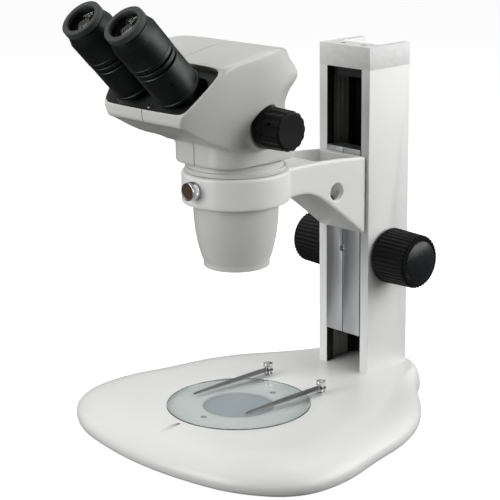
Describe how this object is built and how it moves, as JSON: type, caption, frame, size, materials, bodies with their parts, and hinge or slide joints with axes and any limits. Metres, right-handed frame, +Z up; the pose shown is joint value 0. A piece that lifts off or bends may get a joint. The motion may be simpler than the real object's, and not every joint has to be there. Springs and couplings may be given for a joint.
{
  "type": "stereo microscope",
  "caption": "Stereo zoom microscope with inclined eyepieces on a rack-focused column stand, with a wide base, a glass stage plate and stage clips.",
  "frame": {"origin": "on the desk, under the middle of the object's bounding box; the optical axis is 24.7 mm in front of it, at y = -0.0247", "axes": "+Z up; -Y towards the user, where the eyepieces are; +Y towards the column; the plane x = 0 divides left from right"},
  "size_m": [0.3072, 0.3606, 0.3999],
  "materials": {
    "white_paint": "semi-gloss white powder coat on cast or extruded aluminium",
    "grey_paint": "semi-gloss warm grey paint on die-cast aluminium",
    "white_plastic": "satin",
    "black_steel": "blackened",
    "rubber": "matt",
    "frosted": "frosted",
    "chrome": "polished",
    "stage_glass": "clear with green edge",
    "spring_steel": "dark spring steel",
    "rail_grey": "satin",
    "black_liner": "matt",
    "brass": "machined",
    "steel": "machined",
    "satin_aluminium": "satin",
    "black_knob": "fine grain",
    "black_cap": "gloss",
    "black_tube": "satin black anodised",
    "black_plate": "matt",
    "coated_glass": "coated lens"
  },
  "bodies": {
    "base": {"base_casting": "white_paint", "base_cover": "black_steel", "rubber_feet": "rubber", "stage_liner": "white_paint", "stage_disc": "frosted", "base_screws": "chrome", "plate_lock_screw": "black_steel", "stage_glass": "stage_glass", "clip_posts": "chrome", "column": "white_paint", "column_bolts": "black_steel", "guide_rails": "rail_grey", "column_back_liner": "black_liner", "column_cap": "white_plastic", "stop_block": "black_liner", "cap_screws": "chrome", "shaft_bushes": "brass"},
    "clip_left": {"clip_left": "spring_steel"},
    "clip_right": {"clip_right": "spring_steel"},
    "clip_screw_left": {"clip_screw_left": "chrome"},
    "clip_screw_right": {"clip_screw_right": "chrome"},
    "focus_shaft": {"pinion_shaft": "steel", "focus_knob_left": "black_knob", "focus_knob_right": "black_knob", "focus_knob_caps": "black_cap"},
    "carriage": {"carriage": "satin_aluminium", "rack": "steel", "carriage_screws": "chrome", "stop_screw": "chrome", "arm": "white_paint"},
    "head_clamp": {"head_clamp_screw": "chrome"},
    "head": {"head_barrel": "grey_paint", "bell": "grey_paint", "objective_ring": "black_tube", "objective_cell": "black_tube", "objective_lenses": "coated_glass", "head_frame": "satin_aluminium", "zoom_guide_rods": "steel", "housing_left": "grey_paint", "housing_right": "grey_paint", "tube_plate": "black_plate", "plate_screw": "chrome"},
    "zoom_drive": {"zoom_shaft": "steel", "zoom_knob_left": "black_knob", "zoom_knob_right": "black_knob"},
    "zoom_lens_upper": {"zoom_lens_upper": "black_tube"},
    "zoom_lens_lower": {"zoom_lens_lower": "black_tube"},
    "tube_left": {"tube_left": "black_tube", "prism_left": "black_plate"},
    "tube_right": {"tube_right": "black_tube", "prism_right": "black_plate"},
    "diopter_left": {"diopter_ring_left": "black_tube"},
    "diopter_right": {"diopter_ring_right": "black_tube"},
    "eyepiece_left": {"eyepiece_left": "black_tube", "eye_lens_left": "coated_glass", "eyecup_left": "rubber"},
    "eyepiece_right": {"eyepiece_right": "black_tube", "eye_lens_right": "coated_glass", "eyecup_right": "rubber"}
  },
  "joints": [
    {"name": "focus_slide", "type": "slide", "parent": "base", "child": "carriage", "axis": [0, 0, 1], "range_m": [-0.035, 0.06]},
    {"name": "focus_turn", "type": "hinge", "parent": "base", "child": "focus_shaft", "pos_m": [0, 0.14118, 0.14], "axis": [1, 0, 0], "range_deg": [-500, 300]},
    {"name": "clip_left_swing", "type": "hinge", "parent": "base", "child": "clip_left", "pos_m": [-0.035, 0.04628, 0.032], "axis": [0, 0, 1], "range_deg": [-100, 15]},
    {"name": "clip_right_swing", "type": "hinge", "parent": "base", "child": "clip_right", "pos_m": [0.035, 0.04628, 0.032], "axis": [0, 0, 1], "range_deg": [-15, 100]},
    {"name": "clip_left_screw_turn", "type": "hinge", "parent": "base", "child": "clip_screw_left", "pos_m": [-0.035, 0.04628, 0.036], "axis": [0, 0, 1], "range_deg": [0, 540]},
    {"name": "clip_right_screw_turn", "type": "hinge", "parent": "base", "child": "clip_screw_right", "pos_m": [0.035, 0.04628, 0.036], "axis": [0, 0, 1], "range_deg": [0, 540]},
    {"name": "head_clamp_turn", "type": "hinge", "parent": "carriage", "child": "head_clamp", "pos_m": [0, -0.07472, 0.2333], "axis": [0, -1, 0], "range_deg": [0, 540]},
    {"name": "head_turn", "type": "hinge", "parent": "carriage", "child": "head", "pos_m": [0, -0.02472, 0.235], "axis": [0, 0, 1], "continuous": true},
    {"name": "zoom_turn", "type": "hinge", "parent": "head", "child": "zoom_drive", "pos_m": [0, -0.03272, 0.289], "axis": [1, 0, 0], "range_deg": [-135, 135]},
    {"name": "zoom_upper_slide", "type": "slide", "parent": "head", "child": "zoom_lens_upper", "axis": [0, 0, 1], "range_m": [-0.008, 0.008]},
    {"name": "zoom_lower_slide", "type": "slide", "parent": "head", "child": "zoom_lens_lower", "axis": [0, 0, 1], "range_m": [-0.008, 0.008]},
    {"name": "tube_right_swing", "type": "hinge", "parent": "head", "child": "tube_right", "pos_m": [0.024, -0.09562, 0.34271], "axis": [0, -0.6858, 0.7278], "range_deg": [0, 28]},
    {"name": "tube_left_swing", "type": "hinge", "parent": "head", "child": "tube_left", "pos_m": [-0.024, -0.09562, 0.34271], "axis": [0, -0.6858, 0.7278], "range_deg": [-28, 0]},
    {"name": "eyepiece_left_focus", "type": "slide", "parent": "tube_left", "child": "eyepiece_left", "axis": [0, -0.6858, 0.7278], "range_m": [-0.0012, 0.0012]},
    {"name": "diopter_left_turn", "type": "hinge", "parent": "tube_left", "child": "diopter_left", "pos_m": [-0.027, -0.13718, 0.35575], "axis": [0, -0.6858, 0.7278], "range_deg": [-95, 95]},
    {"name": "eyepiece_right_focus", "type": "slide", "parent": "tube_right", "child": "eyepiece_right", "axis": [0, -0.6858, 0.7278], "range_m": [-0.0012, 0.0012]},
    {"name": "diopter_right_turn", "type": "hinge", "parent": "tube_right", "child": "diopter_right", "pos_m": [0.027, -0.13718, 0.35575], "axis": [0, -0.6858, 0.7278], "range_deg": [-95, 95]}
  ],
  "couplings": [
    {"joint": "focus_turn", "follows": "focus_slide", "rad_per_m": -142.86},
    {"joint": "zoom_upper_slide", "follows": "zoom_turn", "m_per_rad": 0.0033},
    {"joint": "zoom_lower_slide", "follows": "zoom_turn", "m_per_rad": -0.0028},
    {"joint": "tube_left_swing", "follows": "tube_right_swing", "ratio": -1},
    {"joint": "diopter_left_turn", "follows": "eyepiece_left_focus", "rad_per_m": 1333.3},
    {"joint": "diopter_right_turn", "follows": "eyepiece_right_focus", "rad_per_m": 1333.3}
  ]
}
